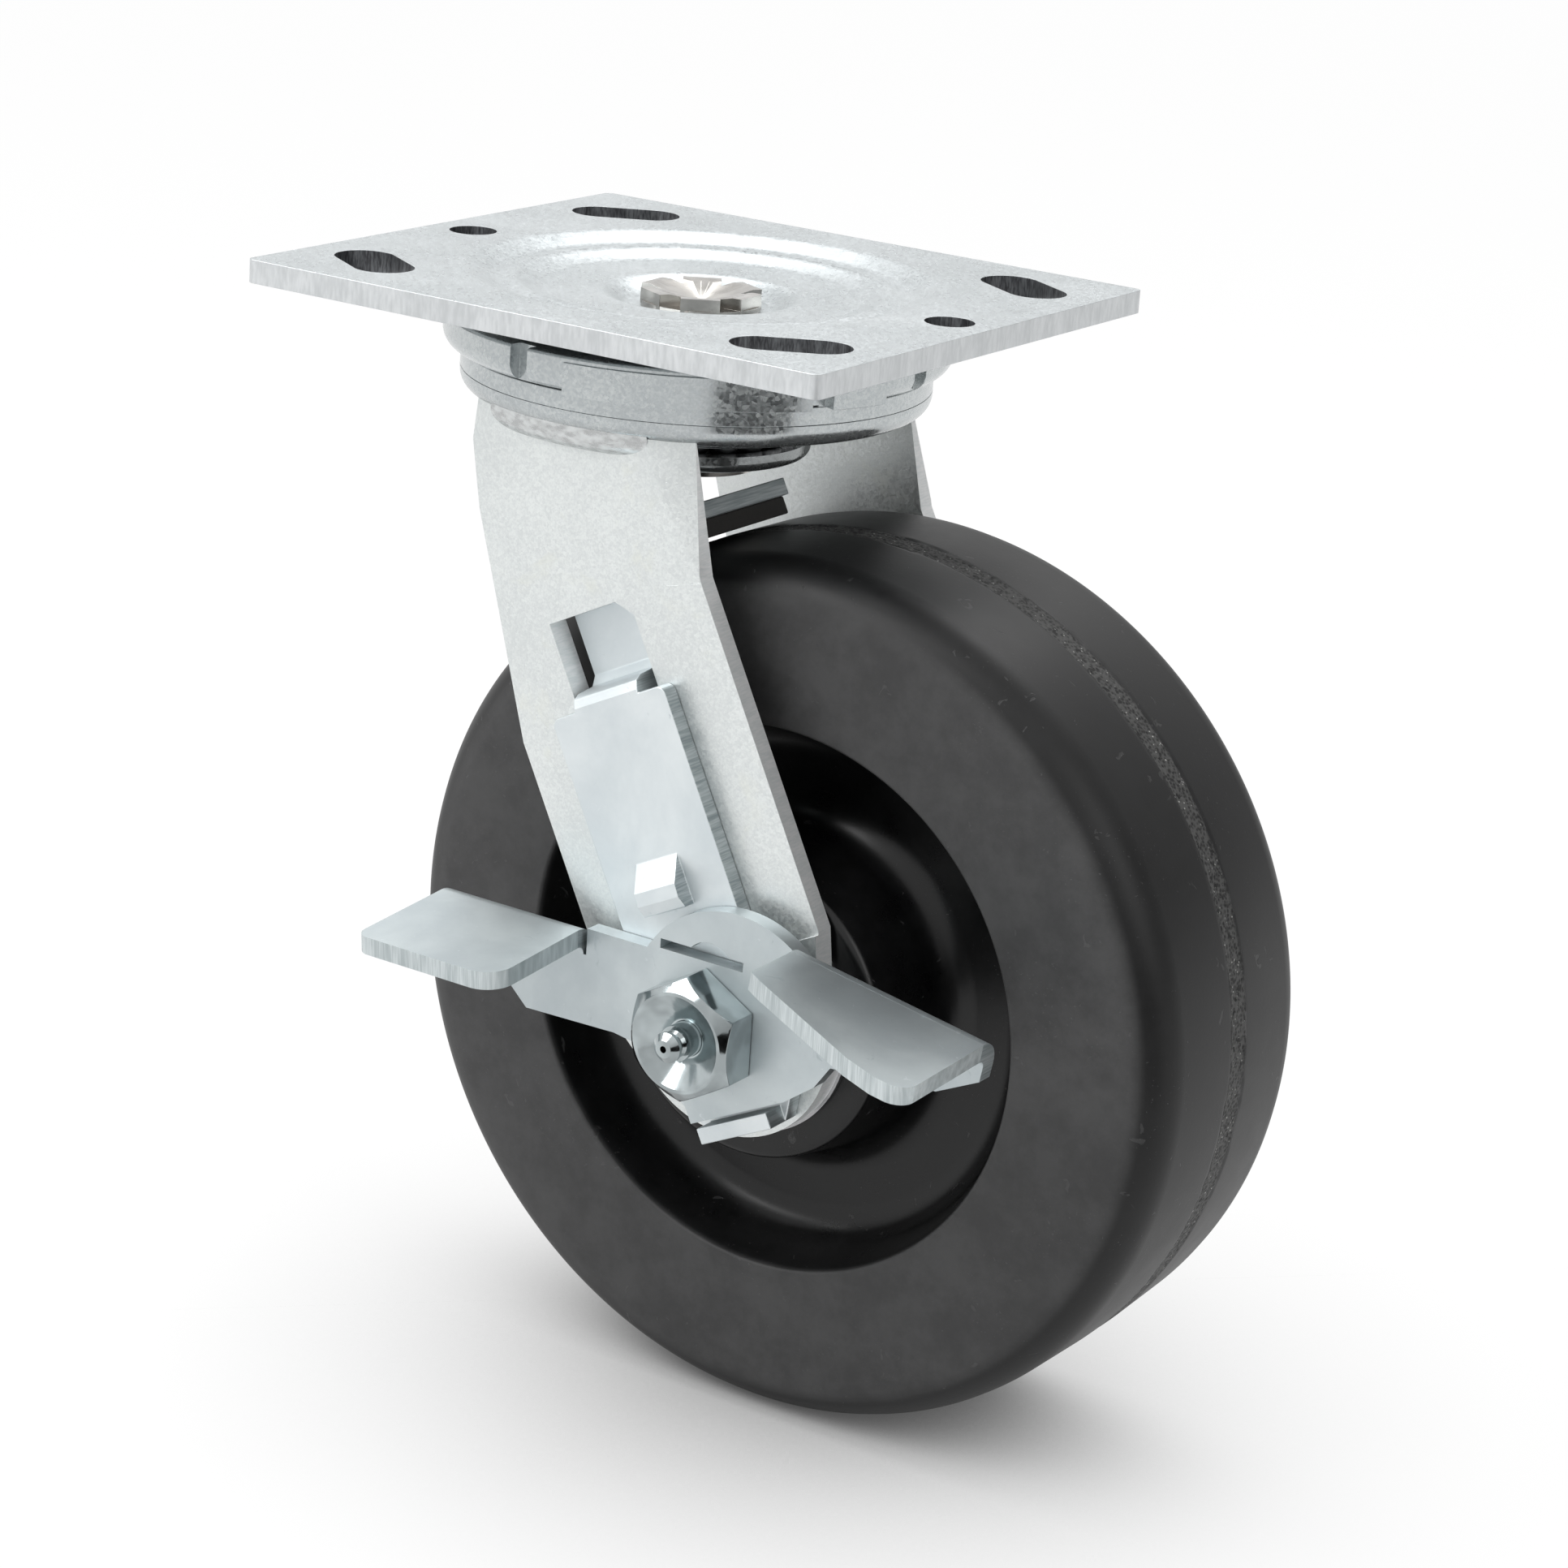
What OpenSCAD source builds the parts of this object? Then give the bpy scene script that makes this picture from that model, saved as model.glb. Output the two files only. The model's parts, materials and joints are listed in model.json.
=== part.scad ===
// Braked swivel castor with a slotted top plate, a side lever brake and a solid moulded wheel.
// Origin: the swivel axis where it meets the upper face of the top plate. +Z is up.
// The wheel trails towards +X, and the brake lever is on the -Y side.

/* [Wheel] */
// Diameter over the tread
wheel_d = 152.4; // [146:0.2:152.4]
// Width of the tyre between its flat faces
wheel_w = 50.8; // [44:0.2:51]
// Radius of the tyre's shoulders
shoulder_r = 8; // [4:0.5:12]
// Fall of the tread from its middle to the shoulders
crown_drop = 0.6; // [0.2:0.1:1.5]
// Length of the hub, boss to boss
hub_l = 61.9; // [58:0.1:62]
// Radius of the hub boss at its end face
boss_r = 26; // [22:0.5:28]
// Radius of the recess where it meets the tyre's face
recess_r = 48; // [44:0.5:52]
// Thickness of the web between the two recesses
web_t = 25; // [18:0.5:30]

/* [Top plate] */
// Length of the top plate along the trail
plate_l = 114.3; // [112:0.1:130]
// Width of the top plate
plate_w = 101.6; // [98:0.1:120]
// Sheet thickness of the top plate
plate_t = 4; // [3.5:0.1:4.5]
// Corner radius of the top plate
plate_corner_r = 1.5; // [1:0.5:10]
// Width of the four bolt slots
slot_w = 10.3; // [8:0.1:11]
// Bolt centres along the plate at the square end of the slots
bolts_square = 76.2; // [74:0.1:78]
// Bolt centres along the plate at the long end of the slots
bolts_long_x = 92.08; // [90:0.02:94]
// Bolt centres across the plate at the long end of the slots
bolts_long_y = 66.68; // [64:0.02:70]
// Diameter of the two round holes
round_hole_d = 8.3; // [6:0.1:8.5]
// Distance between the two round holes
round_hole_span = 98.4; // [97:0.1:99.5]

/* [Swivel head] */
// Outer radius of the pressed ring in the plate
press_r = 41; // [39:0.5:42]
// Radius of the king pin
kingpin_r = 7.9; // [6.5:0.1:8.5]
// Radius of the cup that holds the staked pin head
cup_r = 13; // [12:0.5:14]
// Diameter of the upper row of balls
ball_d = 6.35; // [5:0.05:6.5]
// Distance from the crown's rim in to the track of the upper balls
track_in = 5.3; // [4.8:0.1:6]
// Diameter of the lower row of balls
low_ball_d = 4.76; // [4:0.02:5]
// Pitch radius of the lower row of balls
low_ball_pitch_r = 15.5; // [14.5:0.1:17]
// How far the crown's rim stands out past the legs
crown_over = 3.9; // [3.1:0.1:4.6]
// How far the upper race stands out past the crown's rim
race_over = 3.1; // [1.7:0.1:3.6]
// Sheet thickness of the crown
crown_t = 4; // [3.5:0.1:4.5]
// Outer radius of the bowl under the crown
bowl_r = 27.5; // [27:0.1:30]

/* [Fork] */
// Height from the top of the wheel to the plate's face
head_room = 38.1; // [38:0.1:42]
// Trail of the axle behind the swivel axis
lead = 38.1; // [37:0.1:40]
// Sheet thickness of the legs
leg_t = 4.5; // [4:0.1:5]
// Lean of the straight part of the legs from the vertical
rake = 26.8; // [26:0.1:28]
// Half width of the straight part of a leg
leg_half_w = 23.2; // [22:0.1:24]
// Radius of the lower end of a leg
leg_end_r = 20.5; // [19:0.1:21]
// Depth to which the long edges are rolled inward
roll_depth = 0.9; // [0.5:0.1:1.2]

/* [Axle] */
// Diameter of the axle bolt
axle_d = 12.7; // [12:0.05:13]
// Width across the flats of the bolt head and the nut
hex_af = 19.05; // [18.8:0.05:20]
// Height of the bolt head
head_h = 7.9; // [7:0.1:9]
// Outer diameter of the bushing that the rollers run on
bushing_d = 19.05; // [18.5:0.05:19.5]
// Diameter of the rollers
roller_d = 4.7; // [4:0.1:5]
// Number of rollers
rollers = 10; // [8:1:11]
// Thickness of the two washers between the hub and the legs
washer_t = 0.9; // [0.8:0.05:1.5]
// Diameter of the collar that the brake lever turns on
collar_d = 17; // [16:0.1:17.5]

/* [Brake] */
// Sheet thickness of the arm and the lever
brake_t = 3.2; // [2.8:0.1:3.4]
// Half width of the brake arm
arm_half_w = 12.3; // [11.5:0.1:13]
// Height of the arm's shoulders above the axle, along the leg
shoulder_s = 56; // [55:0.1:57]
// Radius of the lever's cam
cam_r = 20; // [19.8:0.1:20]
// Gap between the tread and the pad while the brake is off
pad_gap = 1.2; // [1.1:0.1:1.6]
// How far the foot pads stand out from the lever
tab_reach = 24.5; // [20:0.5:28]
// Outer length of the left arm of the lever, from the axle
left_reach = 54; // [50:0.5:58]
// Outer length of the right arm of the lever, from the axle
right_reach = 53.8; // [50:0.5:58]

/* [Hidden] */
$fn = 96;
eps = 0.01;

// Clearance of a shaft that turns in its hole
run_gap = 0.05;
// Gap between flat faces that slide on one another
slide_gap = 0.15;
// Gap round a ball in its groove
groove_gap = 0.12;

wheel_r = wheel_d / 2;
axle_z = -head_room - wheel_r;
fork_gap = hub_l + 2 * (washer_t + run_gap);
leg_in = fork_gap / 2;
leg_out = leg_in + leg_t;
crown_r = leg_out + crown_over;
race_r = crown_r + race_over;
ball_pitch_r = crown_r - track_in;
axle_r = axle_d / 2;
bushing_r = bushing_d / 2;
collar_r = collar_d / 2;

// Levels of the swivel stack, downward from the plate's face
step_1 = 1.6;
step_2 = 3.2;
cup_depth = 5.6;
race_top = -step_2 - plate_t;
race_flat_t = 3.8;
ball_z = race_top - race_flat_t - ball_d / 2 - groove_gap;
groove_r = ball_d / 2 + groove_gap;
race_lip = 2.4;
race_low = race_top - race_flat_t - race_lip;
race_edge = 0.7;
race_round = 3;
lug_proud = 0.5;
lug_root = 0.4;
lug_fall = 0.15;
lug_cut = 0.3;
crown_top = ball_z - groove_r + 0.7;
crown_low = crown_top - crown_t;
crown_round = 3.4;
bowl_drop = 3;
bowl_round = 1.7;
bowl_fillet = 1.2;
bowl_wall = 3.5;
bowl_top = crown_top - bowl_drop;
bowl_low = bowl_top - crown_t;
low_groove_r = low_ball_d / 2 + groove_gap;
low_ball_z = bowl_low - low_ball_d / 2 + 0.6;
low_race_top = low_ball_z - 1.2;
low_race_low = low_ball_z - low_groove_r - 1.6;
low_race_r = low_ball_pitch_r + low_groove_r + 2.2;
pin_head_t = 2.6;
pin_head_r = 11.5;
ring_gap = 0.35;
ring_in = ball_pitch_r + groove_r + 0.3;
notch_depth = 2.2;
notch_spread = 5;

// Half length of the leg's top edge
crown_chord = 22.6;
// Heights of the upright cheeks at the leg's top, and of the bend under the left one
right_cheek_h = 21.5;
left_cheek_h = 17.9;
left_cheek_fall = 28.4;
// Width of the leg's rolled edges
roll_band = 6.5;
// Start, turn and lean of the facets that turn the legs' tops in to the crown
wrap_x = 15.8;
wrap_turn = 30;
wrap_lean = 14;
// Fillet weld between a leg's face and the crown
weld_r = 3.6;
weld_pitch_r = crown_r - 0.55 - weld_r;
weld_z = crown_low + 0.7;
weld_spread = 52;

// Layers outward from the brake side leg
arm_y = leg_out + slide_gap;
lever_y = arm_y + brake_t + slide_gap;
head_y = lever_y + brake_t + 0.1;
inner_plate_t = 3;
inner_plate_h = 9;
inner_plate_y = leg_in - 0.2;

// Dished bolt head with the grease nipple in it
dish_r = 8.2;
dish_h = 3.2;
nipple_r = 3;
nipple_hole_h = 6;

// Brake travel
slide_travel = 1;
bar_t = 3;
pad_min_t = 2.3;
pad_side = 0.6;
pad_end = 1;
pad_skirt = 4;
pad_face_r = wheel_r + pad_gap;
bar_s = pad_face_r + pad_min_t;
bar_end_y = 11;
neck_half_w = 7;
window_half_w = neck_half_w + 1.8;
window_low = shoulder_s - 2.5;
window_top = shoulder_s + 15.3;
window_cut = 3;
step_s = shoulder_s + 2.8;
step_t = 3.2;
step_rise = 0.4;
step_bend_in = 1.6;
step_bend_out = 2.2;
step_bend_mid = 0.7;
shoulder_cut = 1.5;
flange_s = 15.6;
flange_t = 2.8;
flange_half_w = 7.5;
flange_out = 4.3;
flange_neck_s = flange_s - 4;
bump_s = 20.3;
bump_l = 10.2;
bump_w = 9;
bump_out = 3.4;
cam_x = 5.3;
cam_z = 1.6;
bend_in_r = 1.5;
bend_r = bend_in_r + brake_t;
cam_flats = [
    [-9, -14.7], [11, -14.7], [17.9, -13.5], [28, -8], [28, 30], [-30, 30], [-18.5, 3.3], [-9, -10.3]
];
lance_l = 9.5;
lance_r_side = 7;
lance_z = 12;
lance_w = 1.7;
lance_eye_r = 5;
left_fold_z = 11.5;
left_knee_x = 13.7 - left_reach;
left_knee_z = -5.9;
left_under = [[-18, -5.4], [0, -8]];
left_tab_l = 29;
left_tab_drop = 4.5;
left_tab_corner = 5;
left_tab_corner_in = 2.5;
bend_relief = 0.6;
right_tab_root = 11.5;
right_fold_x = 17.2;
right_fold_z = 18.9;
right_fold_fall = 9.5;
right_fold_run = (right_reach - right_fold_x) / cos(right_fold_fall);
right_tab_drop = 2;
right_tab_corner = 3.5;
right_end_drop = 2.5;
right_under = [[10.5, -12.5], [4.5, -15], [-10, -17]];

// Floor corners and wall draft of the wheel's recesses
floor_r = 6;
recess_draft = 16;

// Bearing
sleeve_in = bushing_r + roller_d + 2 * run_gap;
sleeve_r = sleeve_in + 1;
roller_pitch_r = bushing_r + run_gap + roller_d / 2;
cage_end = 5.95;
roller_end = 3;
cage_l = hub_l - 2 * cage_end;
roller_l = cage_l - 2 * roller_end;
cage_gap = 0.4;
washer_rim = 5;

// Disc or ring turned about the swivel axis, from a profile of radius and height
module turned() rotate_extrude() children();

// Shape turned about the axle: the profile's height runs along +Y
module on_axle() translate([lead, 0, axle_z]) rotate([-90, 0, 0]) children();

// Flat sheet on the brake side, from its inner distance outward, drawn about the axle as x and height
module brake_side(y, t) translate([lead, -y, axle_z]) rotate([90, 0, 0]) linear_extrude(t) children();

// Drawing turned so that its second axis runs up the leg
module raked() rotate(rake) children();

// Waste between a square corner at p and the arc that rounds it; the stock lies towards sx, sy
module corner_waste(p, r, sx, sy)
    translate(p)
        difference() {
            translate([sx > 0 ? -1 : -r, sy > 0 ? -1 : -r]) square(r + 1);
            translate([sx * r, sy * r]) circle(r);
        }

// Ring segment of a given section, centred on an angle
module arc_block(r_in, r_out, z_low, z_top, mid, spread)
    rotate([0, 0, mid - spread / 2])
        rotate_extrude(angle = spread)
            translate([r_in, z_low]) square([r_out - r_in, z_top - z_low]);

module top_plate() {
    color("silver")
    union() {
        translate([0, 0, -plate_t])
            linear_extrude(plate_t)
                difference() {
                    plate_outline();
                    circle(press_r);
                    for (sx = [-1, 1], sy = [-1, 1]) bolt_slot(sx, sy);
                    for (sx = [-1, 1]) translate([sx * round_hole_span / 2, 0]) circle(round_hole_d / 2);
                }
        turned() plate_pressing();
    }
}

module plate_outline()
    difference() {
        square([plate_l, plate_w], center = true);
        for (sx = [-1, 1], sy = [-1, 1])
            corner_waste([-sx * plate_l / 2, -sy * plate_w / 2], plate_corner_r, sx, sy);
    }

// Slot between the square bolt pattern and the long one, in the quarter given by sx and sy
module bolt_slot(sx, sy) {
    a = [sx * bolts_square / 2, sy * bolts_square / 2];
    b = [sx * bolts_long_x / 2, sy * bolts_long_y / 2];
    run = b - a;
    translate(a) circle(slot_w / 2);
    translate(b) circle(slot_w / 2);
    translate(a)
        rotate(atan2(run[1], run[0]))
            translate([0, eps - slot_w / 2]) square([norm(run), slot_w - 2 * eps]);
}

// Upper face of the pressing, from the king pin's hole outward
pressing_face = [
    [kingpin_r, -cup_depth], [cup_r - 1, -cup_depth], [cup_r + 0.4, -cup_depth + 0.5],
    [cup_r + 3.2, -step_2 - 0.3], [cup_r + 4.6, -step_2],
    [press_r - 14.5, -step_2 + 0.2], [press_r - 13, -step_2 + 0.5], [press_r - 10.2, -step_1 - 0.3],
    [press_r - 9, -step_1 + 0.2], [press_r - 7.6, -step_1 + 0.1], [press_r - 6.4, -step_1 - 0.1],
    [press_r - 5, -step_1 + 0.2], [press_r - 1.6, -0.2], [press_r, 0]
];

module plate_pressing()
    polygon(concat(pressing_face,
        [for (i = [len(pressing_face) - 1:-1:0]) pressing_face[i] - [0, plate_t]]));

module king_pin() {
    star_top = -cup_depth + 3.2;
    color("gainsboro")
    difference() {
        union() {
            translate([0, 0, low_race_low - pin_head_t]) cylinder(h = pin_head_t, r = pin_head_r);
            translate([0, 0, low_race_low]) cylinder(h = -cup_depth - low_race_low + 0.6, r = kingpin_r);
            translate([0, 0, -cup_depth]) cylinder(h = 1.2, r = kingpin_r + 2.4);
            for (i = [0:5])
                rotate([0, 0, i * 60 + 4])
                    translate([0, -kingpin_r * 0.42, star_top - 2.6])
                        cube([kingpin_r + 2, kingpin_r * 0.84, 2.6]);
        }
        translate([0, 0, star_top - 2.2]) cylinder(h = 2.3, r1 = 0.2, r2 = kingpin_r + 1.2);
    }
}

// Angles of the race's notches, and the middle and spread of its square lugs, the same on both sides
race_notches = [-97.5, -27.5, 2.5];
race_lugs = [[-57, 56], [-18.5, 16]];

module race_disc()
    turned()
        difference() {
            translate([cup_r + plate_t + 2, race_low])
                square([race_r - cup_r - plate_t - 2, race_top - race_low]);
            translate([cup_r + plate_t + 1, race_low - 1])
                square([ball_pitch_r - cup_r - plate_t - 1, race_lip + 1]);
            translate([ball_pitch_r, ball_z]) circle(groove_r);
            corner_waste([race_r, race_top], race_edge, -1, -1);
            corner_waste([race_r, race_low], race_round, -1, 1);
        }

module upper_race()
    color("silver")
    difference() {
        union() {
            race_disc();
            for (half = [0, 180], lug = race_lugs)
                arc_block(race_r - race_round - lug_root, race_r + lug_proud, race_low - lug_fall,
                    race_top - race_edge - lug_cut, lug[0] + half, lug[1]);
        }
        for (half = [0, 180], a = race_notches)
            arc_block(race_r - notch_depth, race_r + 2, race_low - 1, race_top + 1, a + half, notch_spread);
    }

// Row of balls about the swivel axis, as many as fit side by side
module ball_row(pitch_r, d, z) {
    n = floor(2 * PI * pitch_r / (d + 0.1));
    for (i = [0:n - 1]) rotate([0, 0, i * 360 / n]) translate([pitch_r, 0, z]) sphere(r = d / 2, $fn = 32);
}

module upper_balls() color("lightgray") ball_row(ball_pitch_r, ball_d, ball_z);
module lower_balls() color("lightgray") ball_row(low_ball_pitch_r, low_ball_d, low_ball_z);

module lower_race()
    color("silver")
    turned()
        difference() {
            translate([kingpin_r, low_race_low])
                square([low_race_r - kingpin_r, low_race_top - low_race_low]);
            translate([low_ball_pitch_r, low_ball_z]) circle(low_groove_r);
            corner_waste([low_race_r, low_race_low], 1.6, -1, 1);
        }

// Outer skin of the crown as a solid, which the legs are cut to
module crown_skin()
    turned()
        difference() {
            union() {
                translate([0, crown_low]) square([crown_r, crown_t]);
                translate([0, bowl_low]) square([bowl_r, bowl_drop + eps]);
                translate([bowl_r, crown_low]) corner_fill(bowl_fillet, 1, -1);
            }
            corner_waste([crown_r, crown_low], crown_round, -1, 1);
            corner_waste([bowl_r, bowl_low], bowl_round, -1, 1);
        }

// Fillet in the inner corner at the origin, towards sx, sy
module corner_fill(r, sx, sy)
    difference() {
        translate([sx > 0 ? 0 : -r, sy > 0 ? 0 : -r]) square(r);
        translate([sx * r, sy * r]) circle(r);
    }

module fork_crown()
    color("silver")
    difference() {
        crown_skin();
        turned() {
            translate([ball_pitch_r, ball_z]) circle(groove_r);
            translate([0, bowl_top]) square([bowl_r - bowl_wall, bowl_drop + 1]);
            translate([low_ball_pitch_r, low_ball_z]) circle(low_groove_r);
            translate([0, bowl_low - 1]) square([kingpin_r + 1.4, crown_t + 2]);
        }
    }

// Ring on the crown's rim that closes the race against dirt
module seal_ring()
    color("silver")
    turned() translate([ring_in, crown_top]) square([crown_r - ring_in, race_low - ring_gap - crown_top]);

// Long edges of a leg about the axle, as x and height, each in the order that keeps the sheet on its left
leg_top_z = crown_low - axle_z + 1;
right_bend_z = leg_top_z - right_cheek_h;
left_bend_z = leg_top_z - left_cheek_h;
right_bend_s = (right_bend_z - leg_half_w * sin(rake)) / cos(rake);
left_bend_s = (left_bend_z - left_cheek_fall) / cos(rake);
leg_right_edge = [
    raked_point(leg_half_w, 10), raked_point(leg_half_w, right_bend_s), [crown_chord - lead, leg_top_z]
];
leg_left_edge = [
    [-crown_chord + 1.5 - lead, leg_top_z], [-crown_chord + 4.4 - lead, left_bend_z],
    raked_point(-leg_half_w, left_bend_s), raked_point(-leg_half_w, 4)
];

// Outline of a leg about the axle
module leg_outline() {
    circle(leg_end_r);
    polygon(concat(leg_right_edge, leg_left_edge,
        [raked_point(-leg_end_r + 0.6, -4.9), [0, -leg_end_r + 6], [leg_end_r - 3.2, 10]]));
}

// Point given across and up the leg, as x and height about the axle
function raked_point(w, s) = [w * cos(rake) - s * sin(rake), w * sin(rake) + s * cos(rake)];

// Waste along one straight edge, from p to q, where the sheet's edge is rolled inward in two facets
module edge_roll(p, q) {
    run = q - p;
    overrun = 0.5;
    translate([lead + p[0], -leg_out, axle_z + p[1]])
        rotate([0, -atan2(run[1], run[0]), 0])
            translate([-overrun, 0, 0])
                rotate([0, 90, 0])
                    linear_extrude(norm(run) + 2 * overrun)
                        polygon([[-roll_band, 0], [-roll_band * 0.4, roll_depth * 0.35], [0, roll_depth],
                            [1, roll_depth * 1.2], [1, -1], [-roll_band, -1]]);
}

// Leg blank on the brake side, with its long edges rolled and its top cut to the crown
module leg_blank()
    difference() {
        brake_side(leg_in, leg_t) leg_outline();
        for (edge = [leg_right_edge, leg_left_edge], i = [0:len(edge) - 2]) edge_roll(edge[i], edge[i + 1]);
        crown_skin();
        for (end = [-1, 1]) leg_wrap(end);
        on_axle() translate([0, 0, -leg_out - 1]) cylinder(h = leg_t + 2, r = axle_r + run_gap);
    }

// Waste outside a top corner of the leg, which is turned in to the crown's rim
module leg_wrap(end)
    mirror([end < 0 ? 1 : 0, 0, 0])
        translate([wrap_x, -leg_out, crown_low])
            rotate([0, 0, wrap_turn])
                rotate([-wrap_lean, 0, 0])
                    translate([-2, -crown_r, -crown_r]) cube([crown_r, crown_r, crown_r + 2 * crown_t]);

module near_leg()
    color("silver")
    difference() {
        leg_blank();
        brake_side(leg_in - 1, leg_t + 2) raked() leg_window();
    }

// Window that the brake arm passes through, with one chamfered corner
module leg_window()
    polygon([[-window_half_w, window_low], [window_half_w, window_low],
        [window_half_w, window_top - window_cut], [window_half_w - window_cut, window_top],
        [-window_half_w, window_top]]);

module far_leg() color("silver") mirror([0, 1, 0]) leg_blank();

// Fillet weld along the outer face of each leg, under the crown's rim
module weld_beads()
    color("gray")
    for (side = [0, 1])
        mirror([0, side, 0])
            difference() {
                rotate([0, 0, -90 - weld_spread / 2])
                    rotate_extrude(angle = weld_spread)
                        difference() {
                            translate([weld_pitch_r, weld_z]) circle(weld_r);
                            translate([0, crown_top - 1]) square(crown_r);
                        }
                crown_skin();
                translate([-crown_r, -leg_out, bowl_low - weld_r])
                    cube([2 * crown_r, leg_out, crown_t + bowl_drop + 2 * weld_r]);
            }

module axle_bolt() {
    far_y = leg_out + 12;
    color("gainsboro")
    on_axle()
        union() {
            translate([0, 0, -head_y - 1]) cylinder(h = head_y + far_y + 1, r = axle_r);
            difference() {
                translate([0, 0, -head_y - head_h]) rotate([0, 0, 30])
                    intersection() {
                        cylinder(h = head_h, r = hex_af / 2 / cos(30), $fn = 6);
                        cylinder(h = head_h + 12, r1 = hex_af / 2 - 0.9, r2 = hex_af / 2 + 20);
                    }
                translate([0, 0, -head_y - head_h - eps])
                    cylinder(h = dish_h, r1 = dish_r, r2 = nipple_r + 0.4);
                translate([0, 0, -head_y - head_h - eps]) cylinder(h = nipple_hole_h, r = nipple_r);
            }
        }
}

// Grease nipple: a threaded stem, a cone, a neck and a domed head with its filling hole
module grease_nipple()
    color("gainsboro")
    on_axle()
        translate([0, 0, -head_y - head_h])
            rotate_extrude()
                difference() {
                    union() {
                        square([nipple_r, nipple_hole_h - eps]);
                        translate([0, -0.6])
                            polygon([[0, 0], [1.9, 0], [nipple_r, 1.6], [nipple_r, 3], [0, 3]]);
                        translate([0, -2.4]) square([1.7, 3]);
                        translate([0, -3])
                            polygon([[0, -0.4], [1.5, -0.4], [2.6, 0.6], [2.6, 1.2], [1.7, 2], [0, 2]]);
                    }
                    translate([0, -4]) square([0.6, 5]);
                }

module lever_collar()
    color("gray")
    on_axle()
        translate([0, 0, -head_y])
            difference() {
                cylinder(h = head_y - leg_out, r = collar_r);
                translate([0, 0, -1]) cylinder(h = head_y, r = axle_r + run_gap);
            }

module lock_nut() {
    nut_h = 8;
    cap_h = 2.6;
    color("gainsboro")
    on_axle()
        translate([0, 0, leg_out])
            difference() {
                union() {
                    intersection() {
                        cylinder(h = nut_h, r = hex_af / 2 / cos(30), $fn = 6);
                        translate([0, 0, -12])
                            cylinder(h = nut_h + 12, r1 = hex_af / 2 + 20, r2 = hex_af / 2 - 0.3);
                    }
                    cylinder(h = nut_h + cap_h, r = hex_af / 2 - 1.4);
                }
                translate([0, 0, -1]) cylinder(h = nut_h + cap_h + 2, r = axle_r);
            }
}

module spanner_bushing()
    color("gray")
    on_axle()
        translate([0, 0, -leg_in])
            difference() {
                cylinder(h = fork_gap, r = bushing_r);
                translate([0, 0, -1]) cylinder(h = fork_gap + 2, r = axle_r + run_gap);
            }

module thrust_washers()
    color("gray")
    for (side = [-1, 1])
        on_axle()
            translate([0, 0, side > 0 ? leg_in - washer_t : -leg_in])
                difference() {
                    cylinder(h = washer_t, r = boss_r - washer_rim);
                    translate([0, 0, -1]) cylinder(h = washer_t + 2, r = bushing_r + run_gap);
                }

// Arm on the outside of the leg, joggled through the window and bent over the tread
module brake_arm() {
    slot_r = collar_r + 0.3;
    color("lightsteelblue")
    difference() {
        union() {
            brake_side(arm_y, brake_t)
                raked() {
                    difference() {
                        translate([-arm_half_w, -flange_neck_s])
                            square([2 * arm_half_w, shoulder_s + flange_neck_s]);
                        corner_waste([arm_half_w, shoulder_s], shoulder_cut, -1, -1);
                        corner_waste([-arm_half_w, shoulder_s], shoulder_cut, 1, -1);
                    }
                    polygon([[-arm_half_w, 1 - flange_neck_s], [-arm_half_w, -flange_neck_s],
                        [-flange_half_w, -flange_s - flange_t], [flange_half_w, -flange_s - flange_t],
                        [arm_half_w, -flange_neck_s], [arm_half_w, 1 - flange_neck_s]]);
                }
            arm_flange();
            arm_joggle();
            arm_bump();
        }
        brake_side(arm_y - 1, brake_t + 2)
            raked() {
                translate([0, -0.3]) circle(slot_r);
                translate([0, slide_travel + 0.3]) circle(slot_r);
                translate([-slot_r, -0.3]) square([2 * slot_r, slide_travel + 0.6]);
            }
    }
}

// Frame of the arm: X across the leg, Z up the leg, both from the axle
module arm_frame() translate([lead, 0, axle_z]) rotate([0, -rake, 0]) children();

module arm_flange()
    arm_frame()
        translate([-flange_half_w, -arm_y - brake_t - flange_out, -flange_s - flange_t])
            cube([2 * flange_half_w, brake_t + flange_out, flange_t]);

// Joggle through the window, inner plate and bar, from one side profile of y and height
module arm_joggle() {
    outer = -arm_y - brake_t;
    inner = -inner_plate_y;
    top_s = bar_s + bar_t;
    arm_frame() {
        translate([-neck_half_w, 0, 0])
            side_profile(2 * neck_half_w)
                polygon([
                    [-arm_y, shoulder_s - 6], [outer, shoulder_s - 6], [outer, step_s - step_bend_out],
                    [outer + step_bend_mid, step_s - step_bend_mid], [outer + step_bend_out, step_s],
                    [inner - step_bend_in, step_s + step_rise], [inner, step_s + step_rise + step_bend_in],
                    [inner, top_s - 6], [inner + inner_plate_t, top_s - 6],
                    [inner + inner_plate_t, step_s - step_t + step_bend_in],
                    [inner + inner_plate_t - step_bend_in, step_s - step_t], [-arm_y, step_s - step_t]
                ]);
        translate([-arm_half_w, 0, 0])
            side_profile(2 * arm_half_w)
                difference() {
                    union() {
                        translate([inner, top_s - inner_plate_h]) square([inner_plate_t, inner_plate_h]);
                        translate([inner, bar_s]) square([bar_end_y - inner, bar_t]);
                        translate([inner + inner_plate_t, bar_s]) corner_fill(1, 1, -1);
                    }
                    corner_waste([inner, top_s], inner_plate_t + 1, 1, -1);
                }
    }
}

// Profile of y and height drawn across the leg for a width
module side_profile(w) rotate([90, 0, 90]) linear_extrude(w) children();

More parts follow.
